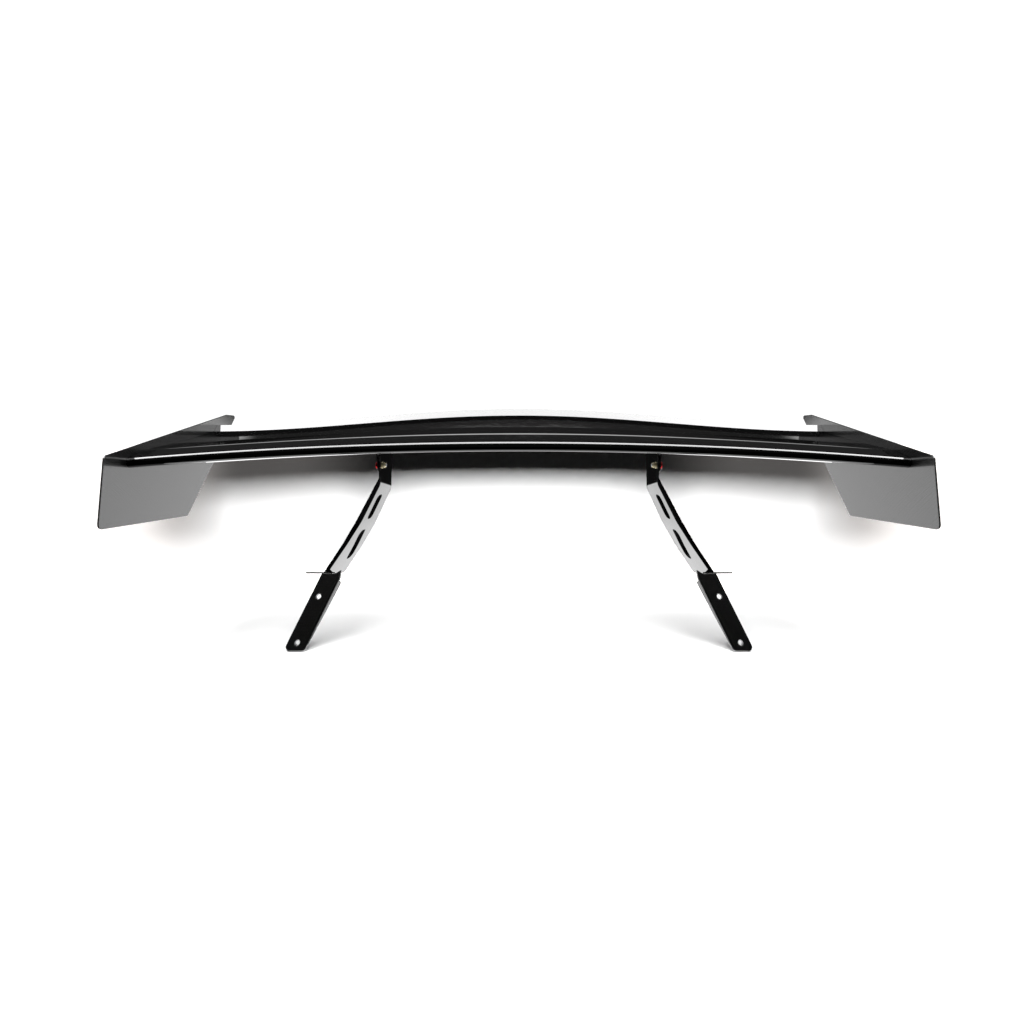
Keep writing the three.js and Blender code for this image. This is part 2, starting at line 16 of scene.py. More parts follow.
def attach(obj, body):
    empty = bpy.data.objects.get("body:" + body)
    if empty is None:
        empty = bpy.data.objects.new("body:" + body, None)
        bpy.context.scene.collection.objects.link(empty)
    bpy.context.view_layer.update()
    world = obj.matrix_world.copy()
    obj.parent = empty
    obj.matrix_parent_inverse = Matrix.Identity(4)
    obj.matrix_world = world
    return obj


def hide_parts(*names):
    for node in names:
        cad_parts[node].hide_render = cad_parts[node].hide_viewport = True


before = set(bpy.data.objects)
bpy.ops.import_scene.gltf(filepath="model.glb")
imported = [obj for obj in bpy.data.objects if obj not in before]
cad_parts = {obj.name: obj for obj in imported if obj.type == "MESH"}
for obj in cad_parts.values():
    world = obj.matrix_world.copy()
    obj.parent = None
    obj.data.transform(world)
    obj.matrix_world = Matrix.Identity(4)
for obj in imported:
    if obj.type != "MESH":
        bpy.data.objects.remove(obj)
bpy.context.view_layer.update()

# ---- dimensions shared with the CAD part, in millimetres ----
GAP = 0.3
HALF_SPAN = 692.0
ENDPLATE_THICK = 3.0
SKIN = 2.5
NOSE_Y = -141.0
TAIL_Y = 141.0
LEAD_ARCH = 29.0
TRAIL_ARCH = 36.0
JOIN_Y = 112.0
SPLIT_Z = 349.0
NOSE_TOP = (NOSE_Y, 356.5, 8.8)
NOSE_BOTTOM = (NOSE_Y, 340.3, 8.0)
CREASE = (-97.0, 371.3, 60.0)
CROWN = (-20.0, 384.1, 400.0)
LIP_FOOT = (121.0, 413.1, 3.0)
LIP_TOP = (136.0, 428.8, 0.8)
LIP_BACK = (140.1, 427.1, 0.8)
TAIL = (TAIL_Y, 411.5, 1.5)
BELLY = (-105.0, 339.5, 120.0)
RISE_START = (-20.0, 360.0, 600.0)
ENDPLATE = [
    (-213.6, 240.4, 8),
    (11, 234.6, 8),
    (218.6, 455.7, 5),
    (178.8, 455.2, 12),
    (-152, 370.3, 14),
    (-186.6, 361.6, 8),
]
ENDPLATE_SCREWS_Y = (-104, -12, 60)
TAB_X = 266.5
TAB_THICK = 3.0
BEND_Z = 318.0
BEND_FALL = 0.148
BLADE_FRONT_Y = -62.5
STAND_SIDE = [
    (-75.6, 134.4, 0),
    (36, 107.4, 6),
    (18.5, 300.5, 30),
    (34, 378, 9),
    (BLADE_FRONT_Y, 362, 7),
    (BLADE_FRONT_Y, BEND_Z, 40),
]
STAND_OUTER = [
    (TAB_X + TAB_THICK, 420, 0),
    (TAB_X + TAB_THICK, BEND_Z, 10),
    (314.6, 235, 150),
    (343.3, 187, 150),
    (402.8, 100, 0),
]
STAND_INNER = [
    (394.5, 100, 0),
    (334.5, 186, 150),
    (304.2, 233, 150),
    (TAB_X, 306, 20),
    (TAB_X, 420, 0),
]
SLOT_WIDTH = 26.0
SLOT_FILLET = 9.0
SLOTS = [(283.5, 235, -31, -31), (212, 148.5, -27, -3)]
BASE_Y = -76.5
BASE_Z = 136.5
BASE_THICK = 2.8
BASE_OUTER_X = 416.5
BASE_FALL = math.radians(14)
FOOT_THICK = 6.0
FOOT_TILT = math.radians(25)
FOOT_LENGTH = (BASE_Z - FOOT_THICK * math.sin(FOOT_TILT)) / math.cos(FOOT_TILT)
FOOT_SPREAD = 0.375
FOOT_INNER_X = 342.0
FOOT_WIDTH = 39.0
FOOT_HOLES = [(383.3, 46.9), (412, 132.5)]
FOOT_HOLE = 5.4
RETURN_DEPTH = 12.0
RETURN_THICK = 3.0
PIVOT = (-50.5, 342.5)
ADJUST = (8.0, 360.0)
M6 = 3.0
HOLE_PLAY = 0.3
WEB_THICK = 2.0
FLANGE_THICK = 3.0
FLANGE_WIDTH = 26.0
BRACKET_SCREWS_Y = (-52, 12)
CUP_WASHER = 4.5
WEB_X = TAB_X + TAB_THICK + GAP
WASHER_X = WEB_X + WEB_THICK + GAP

# ---- fineness of the meshes ----
MM = 0.001
ARC_STEP = 0.12  # radians between two points of an arc
BEND_STEP = 0.03  # the same where a stand's faces bend
LEAST_RADIUS = 0.3
SPAN_STEPS = 160
EDGE_RINGS = 4
HOLE_STEPS = 40
TURNED_STEPS = 48
SHARP = math.radians(32)


# ---- outlines ----
def unit(v):
    return v / np.linalg.norm(v)


def rotated(v, angle):
    c, s = math.cos(angle), math.sin(angle)
    return np.array((v[0] * c - v[1] * s, v[0] * s + v[1] * c))


def rounded(corners, closed=True, step=ARC_STEP):
    """Corners (a, b, radius) become (point, tangent) pairs, with an arc at every corner."""
    path = []
    count = len(corners)
    for i, (a, b, radius) in enumerate(corners):
        corner = np.array((a, b), float)
        before = np.array(corners[i - 1][:2], float)
        after = np.array(corners[(i + 1) % count][:2], float)
        if not closed and i == 0:
            path.append((corner, unit(after - corner)))
            continue
        if not closed and i == count - 1:
            path.append((corner, unit(corner - before)))
            continue
        radius = max(radius, LEAST_RADIUS)
        into, out = unit(before - corner), unit(after - corner)
        turn = math.pi - math.acos(float(np.clip(into @ out, -1, 1)))
        start = corner + into * radius * math.tan(turn / 2)
        centre = corner + unit(into + out) * radius / math.cos(turn / 2)
        cross = into[0] * out[1] - into[1] * out[0]
        sweep = -math.copysign(turn, cross)
        steps = max(2, math.ceil(turn / step))
        for k in range(steps + 1):
            angle = sweep * k / steps
            path.append((centre + rotated(start - centre, angle), rotated(-into, angle)))
    return path


def refined(path, longest, closed=False):
    """The same path with points in between on long straight stretches."""
    out = []
    count = len(path)
    for i in range(count if closed else count - 1):
        (p, tp), (q, tq) = path[i], path[(i + 1) % count]
        steps = max(1, math.ceil(np.linalg.norm(q - p) / longest))
        for k in range(steps):
            out.append((p + (q - p) * k / steps, unit(tp + (tq - tp) * k / steps)))
    if not closed:
        out.append(path[-1])
    return out


def line_z(start, end, y):
    return start[1] + (end[1] - start[1]) * (y - start[0]) / (end[0] - start[0])


def lower_z(y):
    return line_z(BELLY, RISE_START, y) if y < RISE_START[0] else line_z(RISE_START, TAIL, y)


def upper_z(y):
    if y < CREASE[0]:
        return line_z(NOSE_TOP, CREASE, y)
    return line_z(CREASE, CROWN, y) if y < CROWN[0] else line_z(CROWN, LIP_FOOT, y)


def rise(x, y):
    """How far the section is lifted at a place along the span."""
    back = min(max((y - NOSE_Y) / (TAIL_Y - NOSE_Y), 0), 1)
    out = x / HALF_SPAN
    lead = LEAD_ARCH * (1 - out * out)
    trail = TRAIL_ARCH * 0.5 * (1 + math.cos(math.pi * out))
    return lead + (trail - lead) * back


# ---- meshes ----
MIRROR = Matrix.Diagonal((-1, 1, 1, 1))


class Shape:
    """Vertices in millimetres with a normal each, and faces with a material number each."""

    def __init__(self):
        self.verts, self.normals, self.faces, self.slots = [], [], [], []

    def add(self, verts, normals, faces, slot=0):
        base = len(self.verts)
        self.verts += [tuple(v) for v in verts]
        self.normals += [tuple(n) for n in normals]
        self.faces += [tuple(base + i for i in f) for f in faces]
        self.slots += [slot] * len(faces)
        return self

    def join(self, other, slot=0):
        return self.add(other.verts, other.normals, other.faces, slot)

    def moved(self, matrix):
        turn = matrix.to_3x3().inverted_safe().transposed()
        self.verts = [tuple(matrix @ Vector(v)) for v in self.verts]
        self.normals = [tuple((turn @ Vector(n)).normalized()) for n in self.normals]
        if matrix.determinant() < 0:
            self.faces = [f[::-1] for f in self.faces]
        return self


def mirrored(shape):
    copy = Shape()
    copy.slots = list(shape.slots)
    copy.verts, copy.normals, copy.faces = list(shape.verts), list(shape.normals), list(shape.faces)
    return copy.moved(MIRROR)


def linked(name, data):
    obj = bpy.data.objects.new(name, data)
    bpy.context.scene.collection.objects.link(obj)
    return obj


def riding(name, mesh, body, nodes):
    """An object that rides on a body and stands for CAD nodes."""
    obj = linked(name, mesh)
    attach(obj, body)
    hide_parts(*nodes)


def piece(name, shape, body, materials, nodes):
    """A piece of the wing made from a shape."""
    mesh = bpy.data.meshes.new(name)
    mesh.from_pydata([tuple(c * MM for c in v) for v in shape.verts], [], shape.faces)
    mesh.polygons.foreach_set("material_index", shape.slots)
    for material in materials:
        mesh.materials.append(material)
    mesh.shade_smooth()
    mesh.normals_split_custom_set_from_vertices(shape.normals)
    mesh.update()
    riding(name, mesh, body, nodes)


def swept(outer, thickness, direction):
    """A skin: a section path (y, z) swept along the span, with its inner side at a distance.

    direction is 1 where the outside is on the left of the path, and -1 where it is on the right.
    """
    inner = [(p + rotated(t, -direction * math.pi / 2) * thickness, -t) for p, t in outer][::-1]
    path = outer + inner
    half = HALF_SPAN - GAP
    count = len(path)
    verts, normals = [], []
    for s in range(SPAN_STEPS + 1):
        x = -half + 2 * half * s / SPAN_STEPS
        for p, t in path:
            y, z = p
            rise_x = rise(x + 0.5, y) - rise(x - 0.5, y)
            rise_y = rise(x, y + 0.5) - rise(x, y - 0.5)
            n = np.array((-rise_x * t[0], -(t[1] + rise_y * t[0]), t[0])) * direction
            verts.append((x, y, z + rise(x, y)))
            normals.append(unit(n))
    faces = []
    for s in range(SPAN_STEPS):
        for i in range(count):
            a, b = s * count + i, s * count + (i + 1) % count
            quad = (a, a + count, b + count, b)
            faces.append(quad if direction > 0 else quad[::-1])
    shape = Shape().add(verts, normals, faces)
    outline = [Vector((p[0], p[1], 0)) for p, _ in path]
    triangles = tessellate_polygon([outline])
    for s, sign in ((0, -1), (SPAN_STEPS, 1)):
        cap = verts[s * count:(s + 1) * count]
        facing = [facing_up(outline, triangle, sign > 0) for triangle in triangles]
        shape.add(cap, [(sign, 0, 0)] * count, facing)
    return shape


def facing_up(points, triangle, up):
    """A triangle of flat points, turned to face up or down."""
    a, b, c = (points[i] for i in triangle)
    turns_left = (b.x - a.x) * (c.y - a.y) - (b.y - a.y) * (c.x - a.x) > 0
    return triangle if turns_left == up else triangle[::-1]


def flat_point(vertex):
    return Vector((vertex.co.x, vertex.co.y, 0))


def slab(loops, thickness, edge, rows=None, remap=None):
    """A flat plate with rounded edges. It lies in its (u, v) plane, from w = 0 up to its thickness.

    loops are closed paths: the outline first, counter-clockwise, then holes, clockwise.
    rows are cuts ((u, v) point, (u, v) direction across) that let the plate bend afterwards.
    """
    turns = [math.pi / 2 * k / EDGE_RINGS for k in range(EDGE_RINGS + 1)]
    levels = [(edge * (1 - math.sin(a)), edge * (1 - math.cos(a)), a, -1) for a in turns]
    levels += [(inset, thickness - depth, a, 1) for inset, depth, a, _ in levels[::-1]]
    bm = bmesh.new()
    normal_layer = bm.verts.layers.float_vector.new("flat_normal")

    def vertex(point, w, normal):
        v = bm.verts.new((point[0], point[1], w))
        v[normal_layer] = normal
        return v

    caps = {-1: [], 1: []}
    for path in loops:
        grid = []
        for inset, w, a, sign in levels:
            ring = []
            for p, t in path:
                out = np.array((t[1], -t[0]))
                q = p - out * inset
                n = (out[0] * math.sin(a), out[1] * math.sin(a), sign * math.cos(a))
                ring.append(vertex(q, w, n))
            grid.append(ring)
        for low, high in zip(grid, grid[1:]):
            for i in range(len(path)):
                j = (i + 1) % len(path)
                bm.faces.new((low[i], low[j], high[j], high[i]))
        caps[-1].append(grid[0])
        caps[1].append(grid[-1])
    for sign, rings_here in caps.items():
        flat = [v for ring in rings_here for v in ring]
        outlines = [[flat_point(v) for v in ring] for ring in rings_here]
        points = [point for outline in outlines for point in outline]
        for triangle in tessellate_polygon(outlines):
            try:
                bm.faces.new([flat[i] for i in facing_up(points, triangle, sign > 0)])
            except ValueError:  # the filler can give one face twice
                continue
    for point, across in rows or []:
        geometry = bm.verts[:] + bm.edges[:] + bm.faces[:]
        plane = {"plane_co": (*point, 0), "plane_no": (*across, 0)}
        bmesh.ops.bisect_plane(bm, geom=geometry, dist=1e-6, **plane)
    bm.verts.index_update()
    verts = [v.co.copy() for v in bm.verts]
    normals = [Vector(v[normal_layer]).normalized() for v in bm.verts]
    faces = [tuple(v.index for v in f.verts) for f in bm.faces]
    bm.free()
    if remap:
        verts, normals = zip(*[remap(v, n) for v, n in zip(verts, normals)])
    return Shape().add(verts, normals, faces)


def placed(shape, axis_u, axis_v, origin):
    """A slab put in space: u, v and w go along these axes."""
    axis_w = Vector(axis_u).cross(Vector(axis_v))
    columns = Matrix((axis_u, axis_v, axis_w)).transposed().to_4x4()
    return shape.moved(Matrix.Translation(origin) @ columns)


def hole(centre, radius):
    """A clockwise circle."""
    path = []
    for i in range(HOLE_STEPS):
        a = -2 * math.pi * i / HOLE_STEPS
        p = np.array((centre[0] + radius * math.cos(a), centre[1] + radius * math.sin(a)))
        path.append((p, np.array((math.sin(a), -math.cos(a)))))
    return path


def turned(profile, start, direction):
    """A turned solid. Profile points are (radius, height along the axis), and "hex" if six-sided."""
    turn = Vector((0, 0, 1)).rotation_difference(Vector(direction)).to_matrix()
    origin = Vector(start)
    bm = bmesh.new()
    rings = []
    for radius, height, *kind in profile:
        ring = []
        for i in range(TURNED_STEPS):
            a = 2 * math.pi * i / TURNED_STEPS
            r = radius
            if kind:
                r = radius / math.cos((a + math.pi / 6) % (math.pi / 3) - math.pi / 6)
            at = Vector((r * math.cos(a), r * math.sin(a), height))
            ring.append(bm.verts.new(origin + turn @ at))
        rings.append(ring)
    for low, high in zip(rings, rings[1:]):
        for i in range(TURNED_STEPS):
            j = (i + 1) % TURNED_STEPS
            bm.faces.new((low[i], low[j], high[j], high[i]))
    if profile[0][:2] != profile[-1][:2]:
        bm.faces.new(rings[0][::-1])
        bm.faces.new(rings[-1])
    bmesh.ops.remove_doubles(bm, verts=bm.verts, dist=1e-4)
    bmesh.ops.recalc_face_normals(bm, faces=bm.faces)
    return bm


def turned_piece(name, bm, body, material, nodes, mirror):
    """A piece of the wing made from a turned solid, shaded smooth but for its real edges."""
    if mirror:
        bmesh.ops.transform(bm, matrix=MIRROR, verts=bm.verts)
        bmesh.ops.reverse_faces(bm, faces=bm.faces)
    bmesh.ops.scale(bm, vec=(MM, MM, MM), verts=bm.verts)
    mesh = bpy.data.meshes.new(name)
    bm.to_mesh(mesh)
    bm.free()
    mesh.shade_smooth()
    mesh.set_sharp_from_angle(angle=SHARP)
    mesh.materials.append(material)
    riding(name, mesh, body, nodes)


# ---- shader helpers ----
class Graph:
    """A node tree with short calls for the nodes used here."""

    def __init__(self, owner):
        owner.use_nodes = True
        self.tree = owner.node_tree
        self.tree.nodes.clear()

    def node(self, kind, **settings):
        n = self.tree.nodes.new(kind)
        for key, value in settings.items():
            setattr(n, key, value)
        return n

    def put(self, socket, value):
        if isinstance(value, bpy.types.NodeSocket):
            self.tree.links.new(value, socket)
        else:
            socket.default_value = value

    def surface(self, result, kind="ShaderNodeOutputMaterial"):
        self.put(self.node(kind).inputs["Surface"], result)

    def where(self):
        """The object's own coordinates."""
        return self.node("ShaderNodeTexCoord").outputs["Object"]

    def math(self, operation, a, b=0.0):
        n = self.node("ShaderNodeMath", operation=operation)
        self.put(n.inputs[0], a)
        self.put(n.inputs[1], b)
        return n.outputs[0]

    def add(self, *terms):
        return reduce(lambda a, b: self.math("ADD", a, b), terms)

    def times(self, *factors):
        return reduce(lambda a, b: self.math("MULTIPLY", a, b), factors)

    def band(self, value, low, high, soft):
        """1 between two levels and 0 outside them, with soft edges."""
        rising = self.ramp(value, self.math("SUBTRACT", low, soft), self.math("ADD", low, soft))
        falling = self.ramp(value, self.math("SUBTRACT", high, soft), self.math("ADD", high, soft))
        return self.times(rising, self.math("SUBTRACT", 1.0, falling))

    def ramp(self, value, low, high, out_low=0.0, out_high=1.0, smooth=True):
        kind = "SMOOTHSTEP" if smooth else "LINEAR"
        n = self.node("ShaderNodeMapRange", interpolation_type=kind)
        for socket, given in zip(n.inputs, (value, low, high, out_low, out_high)):
            self.put(socket, given)
        return n.outputs[0]

    def mix(self, factor, a, b):
        n = self.node("ShaderNodeMix", data_type="RGBA")
        self.put(n.inputs["Factor"], factor)
        self.put(n.inputs[6], a)
        self.put(n.inputs[7], b)
        return n.outputs[2]

    def noise(self, coordinates, scale, detail=2.0, roughness=0.5):
        n = self.node("ShaderNodeTexNoise")
        self.put(n.inputs["Vector"], coordinates)
        n.inputs["Scale"].default_value = scale
        n.inputs["Detail"].default_value = detail
        n.inputs["Roughness"].default_value = roughness
        return n.outputs["Fac"]

    def bump(self, height, strength, distance):
        n = self.node("ShaderNodeBump")
        n.inputs["Strength"].default_value = strength
        n.inputs["Distance"].default_value = distance
        self.put(n.inputs["Height"], height)
        return n.outputs["Normal"]


def new_material(name):
    material = bpy.data.materials.new(name)
    return material, Graph(material)


def shader(g, **values):
    """The material's shader, with values or sockets by input name (underscores for spaces)."""
    bsdf = g.node("ShaderNodeBsdfPrincipled")
    for key, value in values.items():
        g.put(bsdf.inputs[key.replace("_", " ")], value)
    g.surface(bsdf.outputs["BSDF"])


# ---- carbon fibre ----
TOW = 2.0  # width of one bundle of fibres, millimetres
TWILL_RELIEF = 0.35
# Colours of the bundles: the dark ones are the fibres' own, the weft's light one is painted sheen.
WARP_DARK = 0.0015
WEFT_DARK = 0.0012
WEFT_SHEEN = 0.006


def weave(g, coordinates, u_axis, v_axis):
    """A 2x2 twill: which bundle is on top, and the rounded height of the bundles."""
    def along(axis):
        n = g.node("ShaderNodeVectorMath", operation="DOT_PRODUCT")
        g.put(n.inputs[0], coordinates)
        n.inputs[1].default_value = tuple(c / (TOW * MM) for c in axis)
        return n.outputs["Value"]

    def arch(value):
        return g.math("SINE", g.times(g.math("FRACT", value), math.pi))

    u, v = along(u_axis), along(v_axis)
    cell = g.add(g.math("FLOOR", u), g.math("FLOOR", v))
    over = g.math("LESS_THAN", g.math("FLOORED_MODULO", cell, 4.0), 1.5)
    under = g.math("SUBTRACT", 1.0, over)
    return over, g.add(g.times(over, arch(u)), g.times(under, arch(v)))


def bluish(level, blue):
    return (level, level, level * blue, 1)


def carbon(name, u_axis, v_axis, gloss=0.03, light=0.012, base=0.0):
    """Clear-coated carbon twill. The fibres lie under the coat, and the coat is slightly wavy.

    gloss is the coat's roughness, light the brightest warp colour, which is painted sheen, and base
    the shine of the fibres.
    """
    material, g = new_material(name)
    where = g.where()
    over, height = weave(g, where, u_axis, v_axis)
    strand = g.ramp(g.noise(where, 900.0), 0.3, 0.7, 0.7, 1.15)
    cloud = g.ramp(g.noise(where, 9.0, 3.0), 0.3, 0.7, 0.85, 1.15)
    # Painted sheen: a bundle's colour brightens towards its crown, and the warp is lighter than the
    # weft; the twill pattern and the strand and cloud tones are the weave's own.
    level = g.times(height, strand, cloud)
    warp = g.mix(level, bluish(WARP_DARK, 1.1), bluish(light, 1.05))
    weft = g.mix(level, bluish(WEFT_DARK, 1.125), bluish(WEFT_SHEEN, 1.05))
    shader(
        g,
        Base_Color=g.mix(over, weft, warp),
        Roughness=g.ramp(height, 0.0, 1.0, 0.40, 0.26),
        Specular_IOR_Level=base,
        Normal=g.bump(height, TWILL_RELIEF, 0.00012),
        Coat_Weight=1.0,
        Coat_Roughness=g.ramp(g.noise(where, 60.0, 4.0), 0.35, 0.75, gloss, gloss * 1.7),
        Coat_IOR=1.5,
        Coat_Normal=g.bump(g.noise(where, 22.0), 0.018, 0.002),
    )
    return material


# ---- metals and paint ----
UNEVEN_GLOSS = 0.08


def metal(name, colour, roughness, wear=0.5):
    """Metal with fine grain, uneven gloss and small darker and brighter patches."""
    material, g = new_material(name)
    where = g.where()
    grain = g.noise(where, 400.0, 3.0, 0.6)
    patches = g.noise(where, 120.0, 4.0, 0.6)
    dull = tuple(c * (1 - 0.45 * wear) for c in colour)
    bright = tuple(min(1.0, c * (1 + 0.15 * wear)) for c in colour)
    smoothest, roughest = roughness - UNEVEN_GLOSS, roughness + UNEVEN_GLOSS
    shader(
        g,
        Base_Color=g.mix(g.ramp(patches, 0.3, 0.75), (*dull, 1), (*bright, 1)),
        Metallic=1.0,
        Roughness=g.ramp(grain, 0.25, 0.75, smoothest, roughest),
        Normal=g.bump(grain, 0.12, 0.0001),
    )
    return material


def painted(name, colour, roughness):
    """Powder coat with a fine orange peel."""
    material, g = new_material(name)
    where = g.where()
    peel = g.noise(where, 700.0, 3.0)
    tone = g.noise(where, 45.0, 3.0)
    lift = tuple(c * 1.8 for c in colour)
    shader(
        g,
        Base_Color=g.mix(g.ramp(tone, 0.3, 0.7), (*colour, 1), (*lift, 1)),
        Roughness=g.ramp(peel, 0.3, 0.7, roughness - 0.06, roughness + 0.08),
        Normal=g.bump(peel, 0.25, 0.0002),
    )
    return material


HALF = math.sqrt(0.5)
DOWN_FOOT = (0.0, -math.sin(FOOT_TILT), -math.cos(FOOT_TILT))


def diagonal(a, b):
    """Two directions at 45 degrees to a and b, which makes the twill's ribs run along a."""
    u = tuple((p + q) * HALF for p, q in zip(a, b))
    v = tuple((q - p) * HALF for p, q in zip(a, b))
    return u, v


ALONG_X, ALONG_Y, ALONG_Z = (1, 0, 0), (0, 1, 0), (0, 0, 1)

wing_carbon = carbon("wing_carbon", *diagonal(ALONG_X, (0, 0.98, 0.2)))
endplate_carbon = carbon("endplate_carbon", ALONG_Y, ALONG_Z, gloss=0.05, light=0.02, base=0.5)
blade_carbon = carbon("blade_carbon", *diagonal(ALONG_Y, ALONG_Z))
base_carbon = carbon("base_carbon", *diagonal(ALONG_X, ALONG_Y))
foot_carbon = carbon("foot_carbon", *diagonal(ALONG_X, DOWN_FOOT), base=0.05)
inner_laminate = carbon(
    "inner_laminate", *diagonal(ALONG_X, (0, 0.7, 0.7)), gloss=0.4, light=0.045
)
bracket_black = painted("bracket_black", (0.012, 0.012, 0.013), 0.34)
screw_black = metal("screw_black", (0.035, 0.035, 0.037), 0.36)
screw_steel = metal("screw_steel", (0.56, 0.56, 0.57), 0.27)
bush_aluminium = metal("bush_aluminium", (0.16, 0.16, 0.165), 0.3)
nut_zinc = metal("nut_zinc", (0.92, 0.82, 0.56), 0.42)
washer_red = metal("washer_red", (0.62, 0.010, 0.014), 0.22, wear=0.3)

# ---- wing skins ----
UPPER_SKIN = 0.6  # thinner than in the CAD part, so that the inside doesn't cross itself in the lip
SECTION_STEP = 12


def section(corners):
    return refined(rounded(corners, closed=False), SECTION_STEP)


upper_path = section([
    (NOSE_Y, SPLIT_Z, 0),
    NOSE_TOP,
    CREASE,
    CROWN,
    LIP_FOOT,
    LIP_TOP,
    LIP_BACK,
    TAIL,
    (JOIN_Y, lower_z(JOIN_Y), 0),
])
lower_path = section([
    (NOSE_Y, SPLIT_Z - GAP, 0),
    NOSE_BOTTOM,
    BELLY,
    RISE_START,
    (JOIN_Y - GAP, lower_z(JOIN_Y - GAP), 0),
])
for name, path, thickness, direction in (
    ("upper_skin", upper_path, UPPER_SKIN, 1),
    ("lower_skin", lower_path, SKIN, -1),
):
    shape = swept(path, thickness, direction)
    piece(name, shape, "wing", [wing_carbon], [f"wing_{name}"])


# ---- pieces on each side ----
def lower_point(x, y):
    """A place on the wing's underside and the direction straight out of it."""
    def z(px, py):
        return lower_z(py) + rise(px, py)

    down = Vector((z(x + 1, y) - z(x, y), z(x, y + 1) - z(x, y), -1)).normalized()
    return Vector((x, y, z(x, y))), down


def endplate():
    outline = rounded(ENDPLATE)
    shape = slab([refined(outline, 20, closed=True)], ENDPLATE_THICK, 1.1)
    return placed(shape, (0, 1, 0), (0, 0, 1), (HALF_SPAN, 0, 0))


def face_curve(corners):
    """x of a stand's face against height, with a fine arc at each bend."""
    path = rounded(corners, closed=False, step=BEND_STEP)
    points = sorted((p[1], p[0]) for p, _ in path)
    heights = np.array([p[0] for p in points])
    across = np.array([p[1] for p in points])
    return lambda z: float(np.interp(z, heights, across))


outer_x = face_curve(STAND_OUTER)
inner_x = face_curve(STAND_INNER)
FLAT = 20.0  # thickness of the blade's slab before it is bent
LOOK = 0.4  # how far above and below a place its slope is taken


def bend_blade(v, n):
    """A point (y, z, w) of the flat slab goes to its place on the stand."""
    y, z, w = v
    level = z + BEND_FALL * (y - BLADE_FRONT_Y)
    face = outer_x if w > FLAT / 2 else inner_x
    x = face(level) + (w - FLAT if w > FLAT / 2 else w)
    slope = (face(level + LOOK) - face(level - LOOK)) / (2 * LOOK)
    normal = Vector((n.z, n.x - n.z * slope * BEND_FALL, n.y - n.z * slope)).normalized()
    return Vector((x, y, z)), normal


def slot_path(top, low, top_y, low_y):
    half = SLOT_WIDTH / 2
    corners = [
        (top_y - half, top, SLOT_FILLET),
        (top_y + half, top, SLOT_FILLET),
        (low_y + half, low, SLOT_FILLET),
        (low_y - half, low, SLOT_FILLET),
    ]
    return refined(rounded(corners), 4, closed=True)


def blade():
    outline = refined(rounded(STAND_SIDE), 4, closed=True)
    loops = [outline, *[slot_path(*s) for s in SLOTS], hole(PIVOT, M6 + HOLE_PLAY)]
    across = unit(np.array((BEND_FALL, 1.0)))
    # Cuts lie closest together where the blade bends into the tab.
    levels = [*range(110, 270, 6), *range(270, 345, 2), *range(345, 380, 8)]
    rows = [((BLADE_FRONT_Y, level), across) for level in levels]
    return slab(loops, FLAT, 0.3, rows, bend_blade)


def foot_inner(length):
    return FOOT_INNER_X + FOOT_SPREAD * length


def foot():
    outline = [
        (345.5, -5, 1),
        (357, 3, 12),
        (foot_inner(4) + FOOT_WIDTH, 2, 1),
        (foot_inner(FOOT_LENGTH) + FOOT_WIDTH, FOOT_LENGTH, 8),
        (foot_inner(FOOT_LENGTH), FOOT_LENGTH, 8),
        (foot_inner(12), 12, 10),
    ]
    holes = [hole(place, FOOT_HOLE) for place in FOOT_HOLES]
    shape = slab([rounded(outline), *holes], FOOT_THICK, 0.8)
    return placed(shape, (1, 0, 0), DOWN_FOOT, (0, BASE_Y, BASE_Z))


def foot_return():
    """The flange along the foot's inner edge. It tapers towards the foot's lower end."""
    along = Vector((FOOT_SPREAD, DOWN_FOOT[1], DOWN_FOOT[2]))
    top = 16 * along.length
    widest = 24 * along.length
    bottom = (FOOT_LENGTH - 12) * along.length
    outline = [
        (top, 0, 0),
        (bottom, 0, 0),
        (bottom, FOOT_THICK - 1, 0),
        (widest, FOOT_THICK + RETURN_DEPTH, 8),
        (top, FOOT_THICK + RETURN_DEPTH, 6),
    ]
    back = (0, math.cos(FOOT_TILT), -math.sin(FOOT_TILT))
    shape = slab([rounded(outline)], RETURN_THICK, 0.5)
    return placed(shape, along.normalized(), back, (FOOT_INNER_X, BASE_Y, BASE_Z))


def base_plate():
    outline = [
        (356, 0, 3),
        (BASE_OUTER_X, 0, 6),
        (BASE_OUTER_X - 5, 114, 16),
        (384, 114, 0.5),
        (377, 40, 30),
    ]
    rearward = Vector((0, math.cos(BASE_FALL), -math.sin(BASE_FALL)))
    up = Vector((1, 0, 0)).cross(rearward)
    shape = slab([rounded(outline)], BASE_THICK, 0.25)
    underside = Vector((0, BASE_Y, BASE_Z)) - up * BASE_THICK
    return placed(shape, (1, 0, 0), rearward, underside)


def stand():
    return blade().join(base_plate(), 1).join(foot(), 2).join(foot_return(), 0)


foot_normal = Vector((0, -math.cos(FOOT_TILT), math.sin(FOOT_TILT)))


def foot_bush(place):
    x, length = place
    at = Vector((x, BASE_Y, BASE_Z)) + Vector(DOWN_FOOT) * length
    profile = [
        (4.5, 0.2),
        (4.7, 0),
        (4.9, 0),
        (5.1, 0.2),
        (5.1, 5.8),
        (4.9, 6),
        (4.7, 6),
        (4.5, 5.8),
        (4.5, 0.2),
    ]
    return turned(profile, at - foot_normal * FOOT_THICK, foot_normal)


def button_screw(seat, outward, shank):
    """An M6 screw with a domed head, which sits on its seat."""
    profile = [
        (0.01, -shank),
        (2.6, -shank),
        (3, -shank + 0.4),
        (3, 0),
        (5.0, 0),
        (5.25, 0.25),
        (5.1, 1.0),
        (4.6, 2.0),
        (3.9, 2.7),
        (3.0, 3.1),
        (2.5, 3.2),
        (2.0, 3.1, "hex"),
        (2.0, 1.3, "hex"),
        (0.01, 1.0),
    ]
    return turned(profile, seat, outward)


